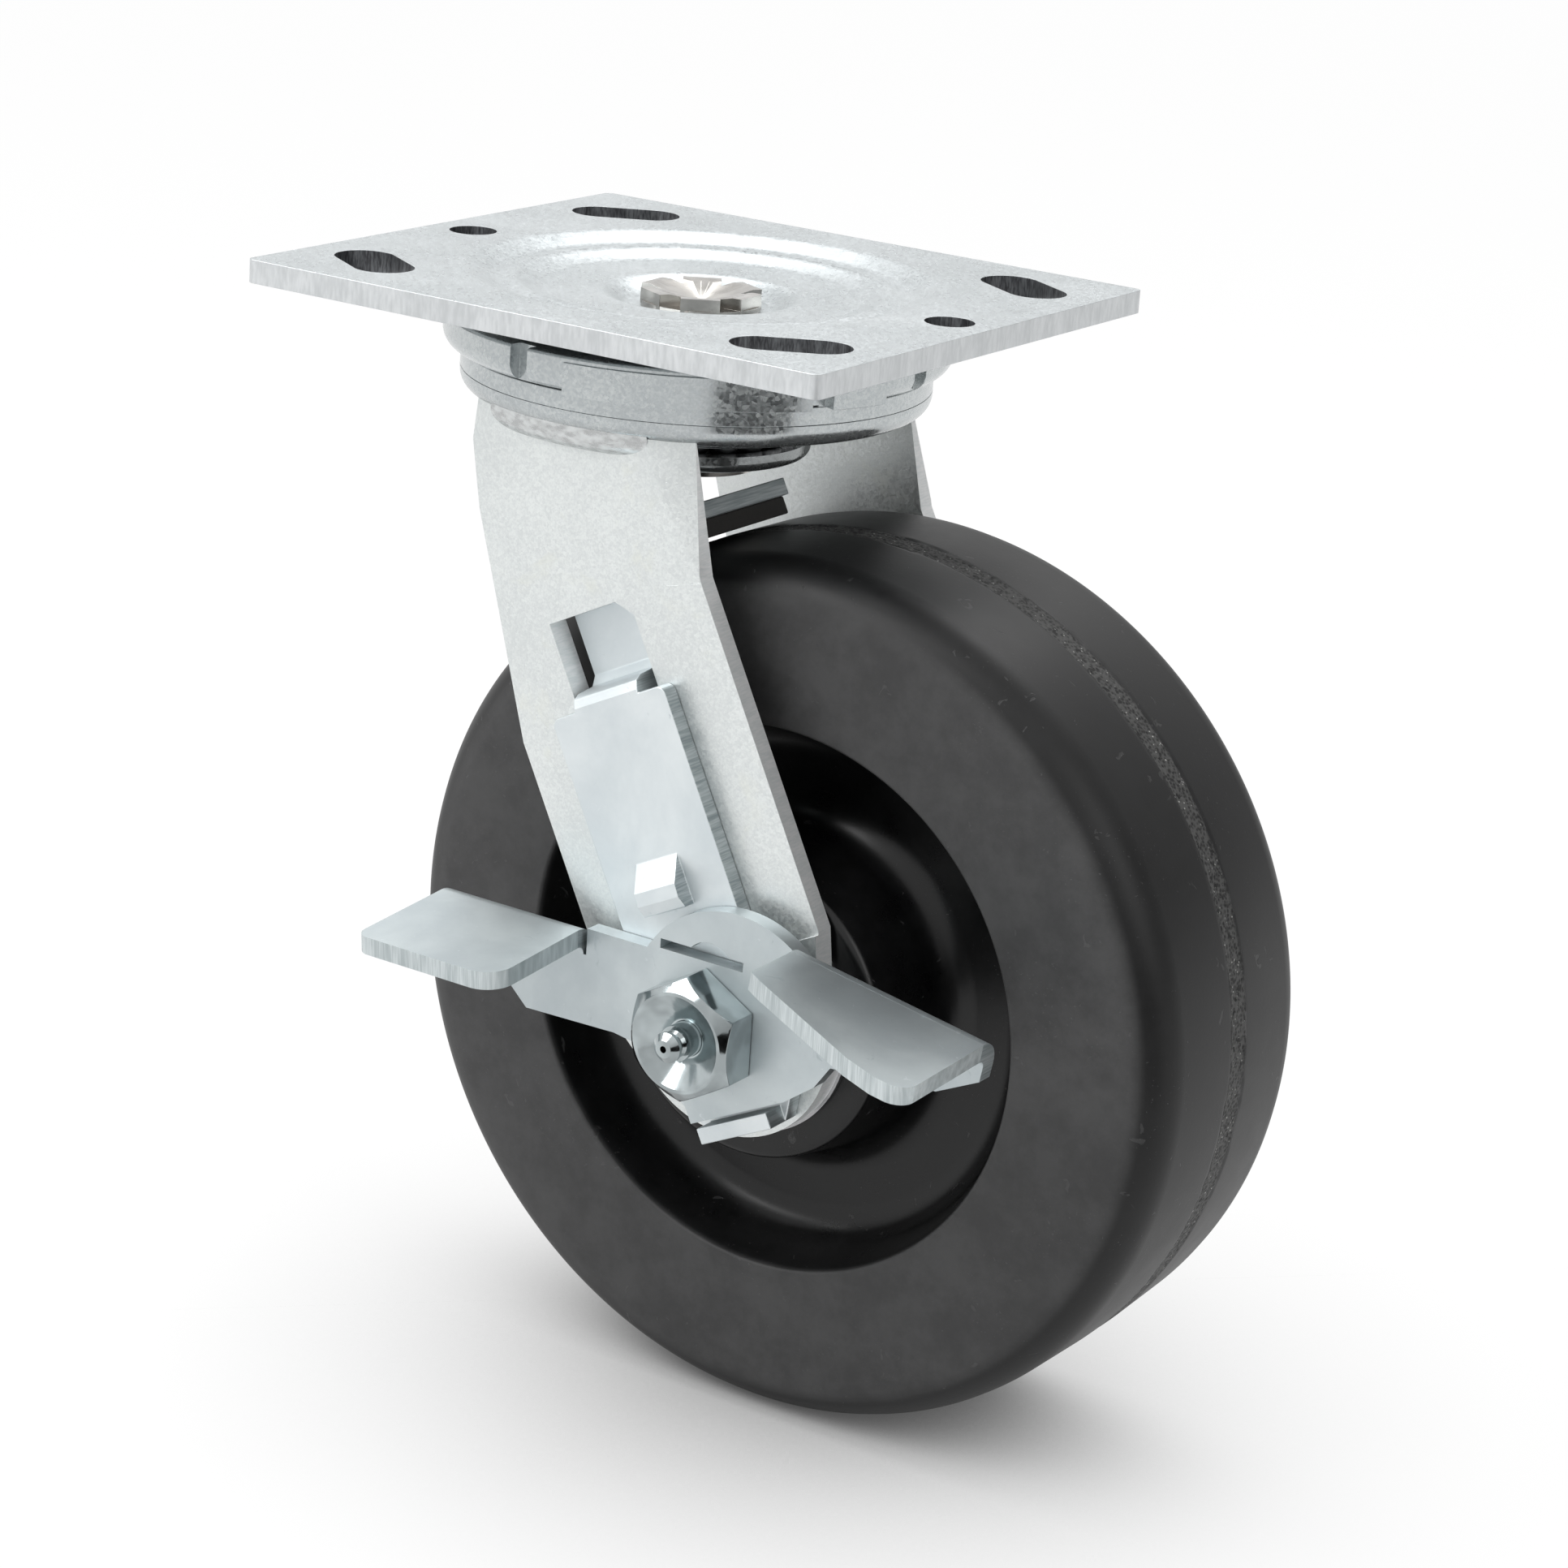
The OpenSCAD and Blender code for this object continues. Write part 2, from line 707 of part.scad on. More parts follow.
// Lanced bump above the cam, that holds the lever's angle
module arm_bump() {
    face = -arm_y - brake_t;
    arm_frame()
        translate([-bump_w / 2 - 0.5, 0, 0])
            side_profile(bump_w)
                polygon([[face + 1, bump_s], [face - bump_out + 1, bump_s], [face - bump_out, bump_s + 2],
                    [face - bump_out + 0.2, bump_s + 0.42 * bump_l], [face + 1, bump_s + bump_l]]);
}

module brake_pad()
    color("dimgray")
    difference() {
        arm_frame()
            translate([-arm_half_w + pad_side, -wheel_w / 2 + pad_end + pad_side, pad_face_r - pad_skirt])
                cube([2 * (arm_half_w - pad_side), wheel_w / 2 + bar_end_y - 2 * pad_end - pad_side,
                    bar_s - pad_face_r + pad_skirt]);
        on_axle() cylinder(h = wheel_w, r = pad_face_r, center = true, $fn = 720);
    }

// Outline of the lever's flat sheet about the axle, as x and height
module lever_outline()
    difference() {
        union() {
            intersection() {
                translate([cam_x, cam_z]) circle(cam_r);
                raked() polygon(cam_flats);
            }
            polygon(concat([[0, left_fold_z], [left_tab_l - left_reach + bend_relief, left_fold_z],
                [left_tab_l - left_reach + bend_relief, left_fold_z - bend_r],
                [-left_reach, left_fold_z - bend_r],
                [left_knee_x, left_knee_z + 3.6], [left_knee_x + 3.9, left_knee_z]], left_under));
            right_arm();
        }
        circle(collar_r + run_gap);
        translate([-lance_l, lance_z]) square([lance_l + lance_r_side, lance_w]);
        intersection() {
            translate([0.4, lance_z - 1.6]) circle(lance_eye_r);
            translate([-lance_l, lance_z + 1]) square([lance_l + lance_r_side, 4]);
        }
    }

// Right arm of the lever, under its sloping fold
module right_arm()
    translate([right_fold_x, right_fold_z])
        rotate(-right_fold_fall)
            translate([0, -bend_r])
                polygon(concat([[-8, -2], [0, 0], [right_fold_run, 0], [right_fold_run, -right_end_drop],
                    [right_fold_run - 7, -right_end_drop - 5]], right_under));

// Foot pad bent outward from a fold that runs along X, the sheet's back at y 0 and the fold's top at z 0
module foot_tab(l, drop) {
    translate([0, -bend_r, -bend_r])
        rotate([0, 90, 0])
            rotate([0, 0, 90])
                rotate_extrude(angle = 90 + drop)
                    translate([bend_in_r, 0]) square([brake_t, l]);
    translate([0, -bend_r, -bend_r])
        rotate([drop, 0, 0])
            translate([0, 0.2, bend_in_r + eps])
                linear_extrude(brake_t - 2 * eps) mirror([0, 1]) children();
}

module brake_lever() {
    reach = tab_reach - bend_in_r;
    color("lightsteelblue")
    union() {
        brake_side(lever_y, brake_t) lever_outline();
        translate([lead - left_reach, -lever_y, axle_z + left_fold_z])
            foot_tab(left_tab_l, left_tab_drop)
                difference() {
                    square([left_tab_l, reach]);
                    corner_waste([left_tab_l, reach], left_tab_corner, -1, -1);
                    corner_waste([0, reach], left_tab_corner_in, 1, -1);
                }
        translate([lead + right_fold_x, -lever_y, axle_z + right_fold_z])
            rotate([0, right_fold_fall, 0])
                foot_tab(right_fold_run, right_tab_drop)
                    difference() {
                        polygon([[eps, 0], [right_fold_run - eps, 0], [right_fold_run - eps, reach],
                            [right_fold_run - 6, reach], [right_fold_run - 12, reach - 1.4],
                            [2.4, right_tab_root + 1.2], [eps, right_tab_root]]);
                        corner_waste([right_fold_run - eps, reach], right_tab_corner, -1, -1);
                    }
    }
}

// Half of the wheel's section on one side of its middle, as radius and distance along the axle
module wheel_half() {
    half = wheel_w / 2;
    rim = wheel_r - crown_drop - shoulder_r;
    difference() {
        union() {
            polygon([[sleeve_r, 0], [wheel_r, 0], [rim + shoulder_r, half - shoulder_r],
                [rim, half], [recess_r - 10, half], [boss_r + 1, hub_l / 2], [sleeve_r, hub_l / 2]]);
            translate([rim, half - shoulder_r]) circle(shoulder_r);
        }
        recess_section([boss_r, hub_l / 2], [recess_r, half], web_t / 2, floor_r, recess_draft);
    }
}

// Ring-shaped recess between two rims, with drafted walls and rounded floor corners
module recess_section(rim_in, rim_out, floor_y, r, draft) {
    wall_y = floor_y + r - r * sin(draft);
    centre_in = rim_in[0] + (rim_in[1] - wall_y) * tan(draft) + r * cos(draft);
    centre_out = rim_out[0] - (rim_out[1] - wall_y) * tan(draft) - r * cos(draft);
    translate([centre_in, floor_y + r]) circle(r);
    translate([centre_out, floor_y + r]) circle(r);
    polygon([
        [centre_in, floor_y], [centre_out, floor_y], [centre_out + r * cos(draft), wall_y],
        rim_out, [rim_out[0], rim_in[1] + 1], [rim_in[0], rim_in[1] + 1],
        rim_in, [centre_in - r * cos(draft), wall_y]
    ]);
}

module wheel()
    color("dimgray")
    on_axle()
        rotate_extrude() {
            wheel_half();
            mirror([0, 1]) wheel_half();
        }

module bearing_sleeve()
    color("gray")
    on_axle()
        difference() {
            cylinder(h = hub_l, r = sleeve_r, center = true);
            cylinder(h = hub_l + 2, r = sleeve_in, center = true);
        }

// Roller pockets and rollers share their pitch
module roller_row(r, l)
    for (i = [0:rollers - 1])
        rotate([0, 0, i * 360 / rollers])
            translate([roller_pitch_r, 0, 0]) cylinder(h = l, r = r, center = true);

module roller_cage()
    color("tan")
    on_axle()
        difference() {
            cylinder(h = cage_l, r = sleeve_in - cage_gap, center = true);
            cylinder(h = cage_l + 2, r = bushing_r + cage_gap, center = true);
            roller_row(roller_d / 2 + run_gap, roller_l + cage_gap);
        }

module rollers_set() color("gainsboro") on_axle() roller_row(roller_d / 2, roller_l);

top_plate();
king_pin();
upper_race();
upper_balls();
lower_balls();
lower_race();
fork_crown();
seal_ring();
near_leg();
far_leg();
weld_beads();
axle_bolt();
grease_nipple();
lever_collar();
lock_nut();
spanner_bushing();
thrust_washers();
brake_arm();
brake_pad();
brake_lever();
wheel();
bearing_sleeve();
roller_cage();
rollers_set();
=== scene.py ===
import json
import math

import bmesh
import bpy
from mathutils import Matrix, Vector


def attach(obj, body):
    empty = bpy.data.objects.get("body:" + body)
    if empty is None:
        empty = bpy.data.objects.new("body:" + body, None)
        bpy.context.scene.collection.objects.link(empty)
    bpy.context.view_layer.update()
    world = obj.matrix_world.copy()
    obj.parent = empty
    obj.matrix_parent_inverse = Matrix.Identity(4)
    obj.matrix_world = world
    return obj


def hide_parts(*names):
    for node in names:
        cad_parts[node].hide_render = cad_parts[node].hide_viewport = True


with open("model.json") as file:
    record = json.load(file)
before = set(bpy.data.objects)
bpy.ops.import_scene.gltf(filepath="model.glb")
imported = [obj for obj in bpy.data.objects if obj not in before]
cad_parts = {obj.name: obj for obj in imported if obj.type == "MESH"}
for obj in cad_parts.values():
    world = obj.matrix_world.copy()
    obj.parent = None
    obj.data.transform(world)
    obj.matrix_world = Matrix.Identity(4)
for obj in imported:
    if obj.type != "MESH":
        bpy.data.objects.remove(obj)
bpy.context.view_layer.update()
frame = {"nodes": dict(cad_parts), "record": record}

MM = 0.001

# Sizes of the castor, in metres, the same as the construction's
AXLE = Vector((38.1, 0, -114.3)) * MM
WHEEL_R = 76.2 * MM
WHEEL_HALF_W = 25.4 * MM
SHOULDER_R = 8 * MM
TREAD_FALL = 0.6 * MM
RECESS_R = 48 * MM
BOSS_R = 26 * MM
HUB_HALF_L = 30.95 * MM
WEB_HALF_T = 12.5 * MM
SLEEVE_R = 15.325 * MM
FLOOR_Z = AXLE.z - WHEEL_R
BRAKE_RAKE = math.radians(26.8)

# Distances and angles that clean a mesh
MERGE_DISTANCE = 0.002 * MM
SLIVER_WIDTH = 0.01 * MM
FLAT_ANGLE = math.radians(0.6)
SHARP_ANGLE = math.radians(32)


# Shader and geometry trees

class Value:
    """The output of a node, which Python's operators turn into Math nodes."""

    def __init__(self, tree, socket):
        self.tree = tree
        self.socket = socket

    def maths(self, operation, *others, clamp=False):
        settings = {"operation": operation, "use_clamp": clamp}
        return self.tree.add("ShaderNodeMath", settings, dict(enumerate((self, *others))))

    def __add__(self, other):
        return self.maths("ADD", other)

    def __sub__(self, other):
        return self.maths("SUBTRACT", other)

    def __rsub__(self, other):
        return self.tree.value(other).maths("SUBTRACT", self)

    def __mul__(self, other):
        return self.maths("MULTIPLY", other)

    def __gt__(self, other):
        return self.maths("GREATER_THAN", other)

    def __lt__(self, other):
        return self.maths("LESS_THAN", other)

    def __abs__(self):
        return self.maths("ABSOLUTE")

    def power(self, exponent):
        return self.maths("POWER", exponent)

    def clamped(self):
        return self.maths("ADD", 0.0, clamp=True)

    def band(self, low, high):
        """0 at low and below, 1 at high and above."""
        settings = {"clamp": True, "interpolation_type": "SMOOTHSTEP"}
        return self.tree.add("ShaderNodeMapRange", settings, {0: self, 1: low, 2: high, 3: 0.0, 4: 1.0})

    __radd__ = __add__
    __rmul__ = __mul__


class Tree:
    """A node tree that grows by expressions."""

    def __init__(self, nodes, links):
        self.nodes = nodes
        self.links = links

    def set(self, socket, value):
        if isinstance(value, Value):
            self.links.new(value.socket, socket)
        elif hasattr(value, "__len__") and len(value) == 3 and socket.type == "RGBA":
            socket.default_value = (*value, 1.0)
        else:
            socket.default_value = value

    def add(self, kind, settings, inputs, output=0):
        """A new node: its settings first, then the values or links of its sockets."""
        node = self.nodes.new(kind)
        for key, value in settings.items():
            setattr(node, key, value)
        for key, value in inputs.items():
            self.set(node.inputs[key], value)
        return Value(self, node.outputs[output])

    def value(self, number):
        return self.add("ShaderNodeMath", {"operation": "ADD"}, {0: number, 1: 0.0})

    def vector(self, operation, first, second=None, output="Vector"):
        inputs = {0: first} if second is None else {0: first, 1: second}
        return self.add("ShaderNodeVectorMath", {"operation": operation}, inputs, output)

    def seen_directly(self):
        """1 for rays that show the white surroundings: from the camera, off metal and through glass."""
        camera = self.add("ShaderNodeLightPath", {}, {}, output="Is Camera Ray")
        glossy = self.add("ShaderNodeLightPath", {}, {}, output="Is Glossy Ray")
        through = self.add("ShaderNodeLightPath", {}, {}, output="Is Transmission Ray")
        return camera.maths("MAXIMUM", glossy).maths("MAXIMUM", through)


class Finish(Tree):
    """A material for one of the castor's finishes."""

    def __init__(self, name, **shader_values):
        self.material = bpy.data.materials.new(name)
        self.material.use_nodes = True
        super().__init__(self.material.node_tree.nodes, self.material.node_tree.links)
        self.shader = self.nodes["Principled BSDF"]
        for socket, value in shader_values.items():
            self.set(self.shader.inputs[socket.replace("_", " ")], value)
        self.place = self.add("ShaderNodeTexCoord", {}, {}, output="Object")

    def stretched(self, scale, centre=(0, 0, 0), turn=(0, 0, 0)):
        """Object coordinates moved to a centre, turned and scaled."""
        moved = self.vector("SUBTRACT", self.place, centre)
        turned = self.add("ShaderNodeMapping", {}, {"Vector": moved, "Rotation": turn})
        return self.vector("MULTIPLY", turned, scale)

    def noise(self, per_metre, detail=2.0, roughness=0.5, where=None, distortion=0.0):
        inputs = {"Vector": where or self.place, "Scale": per_metre, "Detail": detail,
                  "Roughness": roughness, "Distortion": distortion}
        return self.add("ShaderNodeTexNoise", {}, inputs)

    def cells(self, per_metre, output="Distance"):
        return self.add("ShaderNodeTexVoronoi", {}, {"Vector": self.place, "Scale": per_metre}, output)

    def axis(self, which, where=None):
        return self.add("ShaderNodeSeparateXYZ", {}, {0: where or self.place}, output=which)

    def mixed(self, factor, first, second):
        settings = {"data_type": "RGBA", "clamp_factor": True}
        return self.add("ShaderNodeMix", settings, {0: factor, 6: first, 7: second}, output=2)

    def paint(self, colour, roughness=None, height=None, depth=0.0):
        """Links what changes over the surface to the shader; depth is the relief that height 1 has."""
        self.set(self.shader.inputs["Base Color"], colour)
        if roughness is not None:
            self.set(self.shader.inputs["Roughness"], roughness)
        if height is not None:
            bump = self.add("ShaderNodeBump", {}, {"Strength": 1.0, "Distance": depth, "Height": height})
            self.set(self.shader.inputs["Normal"], bump)
        return self.material


# Finishes

def grained_zinc(name, pale, dark, grain_mm, relief_mm, gloss, stain=None, painted_shade=None):
    """Dull zinc plating with a crystalline grain and slow clouds of tone.

    stain is the colour of a few spots, and the last argument gives two heights in millimetres: below the lower one
    the colour takes a painted shade of dark grey, fading out up to the higher one."""
    finish = Finish(name, Metallic=0.8)
    grain = finish.noise(1 / (grain_mm * MM), detail=2.0, roughness=0.6)
    spark = finish.axis("X", where=finish.cells(1 / (grain_mm * 1.3 * MM), output="Color"))
    cloud = finish.noise(38.0, detail=3.0, roughness=0.6)
    tone = (grain * 0.45 + spark * 0.2 + cloud * 0.45).band(0.34, 0.78)
    colour = finish.mixed(tone, dark, pale)
    if stain is not None:
        spots = finish.noise(75.0, detail=4.0, roughness=0.65, distortion=0.6).band(0.56, 0.72)
        colour = finish.mixed(spots * 0.5, colour, stain)
    if painted_shade is not None:
        # Painted shade: the colour turns dark grey below the lower height, for the shade on the crown's lower
        # rounding
        low, high = painted_shade
        painted_shade_grey = (0.20, 0.21, 0.21)
        height = finish.axis("Z") + cloud * 1.6 * MM
        painted_shade_amount = (1.0 - height.band(low * MM, high * MM)) * 0.7
        colour = finish.mixed(painted_shade_amount, colour, painted_shade_grey)
    roughness = gloss + spark * 0.16 + cloud * 0.06
    return finish.paint(colour, roughness, grain * 0.6 + spark * 0.4, relief_mm * MM)


def bright_zinc(name, pale, dark):
    """Smooth blue-bright zinc on the brake's sheet parts, with haze, faint rolling marks and rub marks."""
    rub_grey, nick_white = (0.30, 0.36, 0.38), (0.74, 0.78, 0.80)
    finish = Finish(name, Metallic=0.85)
    haze = finish.noise(45.0, detail=4.0, roughness=0.6, distortion=0.4)
    fine = finish.noise(1300.0, detail=2.0)
    down_the_arm = finish.stretched((1.0, 1.0, 9.0), turn=(0, -BRAKE_RAKE, 0))
    rolled = finish.noise(90.0, detail=3.0, where=down_the_arm)
    rubs = finish.noise(210.0, detail=5.0, roughness=0.7, distortion=1.2).band(0.63, 0.72)
    nicks = finish.noise(700.0, detail=2.0, distortion=0.8).band(0.70, 0.76)
    colour = finish.mixed(haze.band(0.35, 0.7) * 0.8 + fine * 0.2, dark, pale)
    colour = finish.mixed(rubs * 0.30, colour, rub_grey)
    colour = finish.mixed(nicks * 0.35, colour, nick_white)
    roughness = 0.38 + haze * 0.10 + rolled * 0.06 + rubs * 0.12
    return finish.paint(colour, roughness, fine * 0.5 + rolled * 0.3 - nicks * 0.4, 0.02 * MM)


def sheared_edge(name, pale, dark, across, metallic=0.8):
    """Cut edge of sheet with fine and broad ribs, drawn out along the axes where across is small."""
    finish = Finish(name, Metallic=metallic)
    ribs = finish.noise(3200.0, detail=2.0, where=finish.stretched(across))
    broad = finish.noise(600.0, detail=2.0, where=finish.stretched(across))
    tone = (ribs * 0.55 + broad * 0.45).band(0.32, 0.70)
    colour = finish.mixed(tone, dark, pale)
    return finish.paint(colour, 0.36 + ribs * 0.12, ribs * 0.5 + broad * 0.5, 0.035 * MM)


def polished_steel(name, colour, gloss):
    """Bright plated steel with fine turning scratches."""
    finish = Finish(name, Metallic=1.0)
    scratch = finish.noise(700.0, detail=3.0, where=finish.stretched((1.0, 0.12, 1.0)))
    haze = finish.noise(180.0, detail=2.0)
    hazed = tuple(channel * 0.7 for channel in colour)
    tone = finish.mixed(haze.band(0.35, 0.65), hazed, colour)
    return finish.paint(tone, gloss + scratch * 0.1 + haze * 0.05, scratch, 0.01 * MM)


def moulded_black(name):
    """Hard black moulded resin: satin faces painted lighter than the tread as painted light, a smoother recess and a
    torn parting line round the tread.
    """
    finish = Finish(name, Specular_IOR_Level=0.36)
    along = abs(finish.axis("Y"))
    out = finish.vector("LENGTH", finish.stretched((1.0, 0.0, 1.0), centre=tuple(AXLE)), output="Value")

    rub = finish.noise(110.0, detail=6.0, roughness=0.7)
    skin = finish.noise(1400.0, detail=2.0)
    dust = finish.noise(2300.0, detail=1.0).band(0.70, 0.78) * finish.noise(60.0, detail=2.0).band(0.45, 0.65)
    nick = finish.noise(260.0, detail=3.0, distortion=1.5).band(0.69, 0.73)
    recess = 1.0 - out.band(RECESS_R - 1 * MM, RECESS_R)
    face = along.band(WHEEL_HALF_W - 1.5 * MM, WHEEL_HALF_W - 0.1 * MM) * (1.0 - recess)
    # Painted light: the flat faces get a lighter colour than the tread and the recess, for the light that falls on
    # the wheel's sides; their satin roughness is real
    base = finish.mixed(rub.band(0.3, 0.7), (0.0030, 0.0030, 0.0032), (0.0070, 0.0070, 0.0074))
    painted_light_face = finish.mixed(rub.band(0.3, 0.7), (0.040, 0.040, 0.0405), (0.062, 0.062, 0.0625))
    colour = finish.mixed(face, base, painted_light_face)
    colour = finish.mixed(dust * 0.35 + nick * 0.25, colour, (0.12, 0.12, 0.12))

    torn = finish.noise(420.0, detail=5.0, roughness=0.75)
    grit = finish.cells(1500.0)
    tread = out > WHEEL_R - 2 * MM
    parting = (1.0 - (along + torn * 1.6 * MM).band(2.9 * MM, 3.5 * MM)) * tread
    flecks = (torn * 0.5 + grit * 0.5).band(0.30, 0.62) * parting
    specks = (1.0 - finish.cells(1150.0).band(0.10, 0.22)) * torn.band(0.46, 0.56) * parting
    pits = finish.noise(800.0, detail=2.0).band(0.60, 0.66) * parting
    colour = finish.mixed(flecks * 0.8, colour, (0.10, 0.10, 0.098))
    colour = finish.mixed(specks * 0.9, colour, (0.62, 0.62, 0.60))
    colour = finish.mixed(pits, colour, (0.001, 0.001, 0.001))

    roughness = 0.38 + rub * 0.14 - recess * 0.16 + face * 0.08 + parting * 0.2
    height = rub * 0.12 + skin * 0.10 + dust * 0.2 - nick * 0.3 + torn * parting * 2.5 + grit * parting
    return finish.paint(colour, roughness, height, 0.09 * MM)


def pad_rubber(name):
    """Black brake rubber, matt and lightly pitted."""
    finish = Finish(name)
    pits = finish.noise(900.0, detail=3.0)
    colour = finish.mixed(pits, (0.012, 0.011, 0.010), (0.04, 0.037, 0.034))
    return finish.paint(colour, 0.62 + pits * 0.2, pits, 0.08 * MM)


def weld_metal(name):
    """Plated and rippled weld bead."""
    finish = Finish(name, Metallic=0.85)
    ripple = finish.noise(500.0, detail=2.0, where=finish.stretched((1.0, 1.0, 2.0)))
    colour = finish.mixed(ripple.band(0.3, 0.7), (0.46, 0.47, 0.47), (0.66, 0.68, 0.68))
    return finish.paint(colour, 0.22 + ripple * 0.12, ripple, 0.07 * MM)


def cage_resin(name):
    """Moulded cage of the roller bearing."""
    finish = Finish(name)
    flow = finish.noise(150.0, detail=3.0)
    colour = finish.mixed(flow, (0.30, 0.24, 0.15), (0.42, 0.34, 0.22))
    return finish.paint(colour, 0.45 + flow * 0.1, flow, 0.03 * MM)


ZINC_PLATE = grained_zinc("plate_zinc", pale=(0.54, 0.57, 0.58), dark=(0.38, 0.41, 0.42),
                          grain_mm=0.30, relief_mm=0.014, gloss=0.24)
# The head's zinc takes a painted shade below z -17 mm, on the crown's lower rounding
ZINC_HEAD = grained_zinc("head_zinc", pale=(0.60, 0.63, 0.63), dark=(0.44, 0.47, 0.48),
                         grain_mm=0.45, relief_mm=0.006, gloss=0.10, painted_shade=(-20.6, -17.0))
ZINC_FORK = grained_zinc("fork_zinc", pale=(0.80, 0.83, 0.82), dark=(0.66, 0.69, 0.69),
                         grain_mm=0.36, relief_mm=0.02, gloss=0.30, stain=(0.74, 0.76, 0.70))
ZINC_BRAKE = bright_zinc("brake_zinc", pale=(0.58, 0.63, 0.64), dark=(0.46, 0.51, 0.53))
# The arm's zinc is the brake's zinc painted lighter, a painted light on the arm's face
ZINC_ARM_PAINTED_LIGHTER = bright_zinc("arm_zinc_painted_lighter", pale=(0.76, 0.80, 0.81), dark=(0.62, 0.67, 0.69))
CUT_SHEET = sheared_edge("cut_sheet_edge", pale=(0.52, 0.56, 0.57), dark=(0.26, 0.30, 0.31), across=(1.0, 0.05, 1.0))
CUT_TAB = sheared_edge("cut_tab_edge", pale=(0.66, 0.71, 0.72), dark=(0.42, 0.47, 0.48), across=(1.0, 0.3, 0.05))
CUT_LEG = sheared_edge("cut_leg_edge", pale=(1.0, 1.0, 1.0), dark=(0.84, 0.87, 0.87), across=(1.0, 0.15, 1.0),
                       metallic=0.45)
CUT_PLATE = sheared_edge("cut_plate_edge", pale=(0.70, 0.72, 0.73), dark=(0.56, 0.58, 0.59), across=(0.5, 0.5, 0.12))
PUNCHED = sheared_edge("punched_wall", pale=(0.20, 0.21, 0.22), dark=(0.05, 0.05, 0.055), across=(1.0, 1.0, 0.2))
BRIGHT = polished_steel("bright_steel", (0.46, 0.51, 0.52), gloss=0.05)
STAR = polished_steel("staked_steel", (0.56, 0.54, 0.51), gloss=0.10)
BEARING = polished_steel("bearing_steel", (0.42, 0.42, 0.43), gloss=0.22)
RESIN = moulded_black("wheel_resin")
RUBBER = pad_rubber("pad_rubber")
WELD = weld_metal("weld_metal")
CAGE = cage_resin("cage_resin")

FINISHES = {
    "top_plate": ZINC_PLATE, "king_pin": STAR, "upper_race": ZINC_HEAD, "upper_balls": BEARING,
    "lower_balls": BEARING, "lower_race": ZINC_HEAD, "fork_crown": ZINC_HEAD, "seal_ring": ZINC_HEAD,
    "near_leg": ZINC_FORK, "far_leg": ZINC_FORK, "weld_beads": WELD, "axle_bolt": BRIGHT,
    "grease_nipple": BRIGHT, "lever_collar": BEARING, "lock_nut": BRIGHT, "spanner_bushing": BEARING,
    "thrust_washers": BEARING, "brake_arm": ZINC_ARM_PAINTED_LIGHTER, "brake_pad": RUBBER, "brake_lever": ZINC_BRAKE,
    "wheel": RESIN, "bearing_sleeve": BEARING, "roller_cage": CAGE, "rollers_set": BEARING,
}


def coat(piece, material):
    piece.data.materials.clear()
    piece.data.materials.append(material)


for name, piece in frame["nodes"].items():
    coat(piece, FINISHES[name])


# Pieces finished from the construction's own solids

BODY_OF = {node: body for body, nodes in frame["record"]["behaviour"]["bodies"].items() for node in nodes}


def finished_mesh(piece):
    """Applies a piece's modifiers, so that only a plain mesh is left."""
    shaped = piece.evaluated_get(bpy.context.evaluated_depsgraph_get())
    mesh = bpy.data.meshes.new_from_object(shaped)
    piece.modifiers.clear()
    piece.data = mesh


def broken_edges(node, edge_mm, cut=None, smooth=38):
    """A copy of a solid's surface with its sharp edges broken, which then stands for the solid.

    cut gives the finish of a face from its normal and its middle in millimetres, or None for the node's own.
    smooth is the angle in degrees up to which faces are shaded as one."""
    piece = bpy.data.objects.new(node + "_finished", frame["nodes"][node].data.copy())
    bpy.context.scene.collection.objects.link(piece)
    shape = bmesh.new()
    shape.from_mesh(piece.data)
    bmesh.ops.remove_doubles(shape, verts=shape.verts, dist=MERGE_DISTANCE)
    bmesh.ops.dissolve_limit(shape, angle_limit=FLAT_ANGLE, verts=shape.verts, edges=shape.edges)
    bmesh.ops.dissolve_degenerate(shape, dist=SLIVER_WIDTH, edges=shape.edges)
    coat(piece, FINISHES[node])
    for face in shape.faces if cut else ():
        finish = cut(face.normal, face.calc_center_median() / MM)
        if finish is not None:
            if finish.name not in piece.data.materials:
                piece.data.materials.append(finish)
            face.material_index = piece.data.materials.find(finish.name)
    sharp = [edge for edge in shape.edges if len(edge.link_faces) == 2 and edge.calc_face_angle(0) > SHARP_ANGLE]
    bmesh.ops.bevel(shape, geom=sharp, offset=edge_mm * MM, segments=2, profile=0.5, material=-1,
                    affect="EDGES", clamp_overlap=True)
    shape.to_mesh(piece.data)
    shape.free()
    piece.data.shade_smooth()
    piece.data.set_sharp_from_angle(angle=math.radians(smooth))
    normals = piece.modifiers.new("face_weighted", "WEIGHTED_NORMAL")
    normals.keep_sharp = True
    normals.weight = 95
    finished_mesh(piece)
    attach(piece, BODY_OF[node])
    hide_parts(node)


# Where the cut faces of the sheet parts lie, in millimetres
CUP_REACH = 42
PLATE_RIM_X = 56
PLATE_RIM_Y = 49.6
PLATE_CORNER_SUM = 102
FOOT_PADS_Y = -46
LEVER_OUTSIDE_Y = -43.2
LEVER_LOW_Z = -104


def plate_cut(normal, middle):
    x, y = abs(middle.x), abs(middle.y)
    if abs(normal.z) > 0.5 or math.hypot(x, y) < CUP_REACH:
        return None
    return CUT_PLATE if x > PLATE_RIM_X or y > PLATE_RIM_Y or x + y > PLATE_CORNER_SUM else PUNCHED


def leg_cut(normal, middle):
    return CUT_LEG if abs(normal.y) < 0.3 else None


def arm_cut(normal, middle):
    across = abs(normal.x * math.cos(BRAKE_RAKE) + normal.z * math.sin(BRAKE_RAKE))
    return CUT_SHEET if across > 0.8 else None


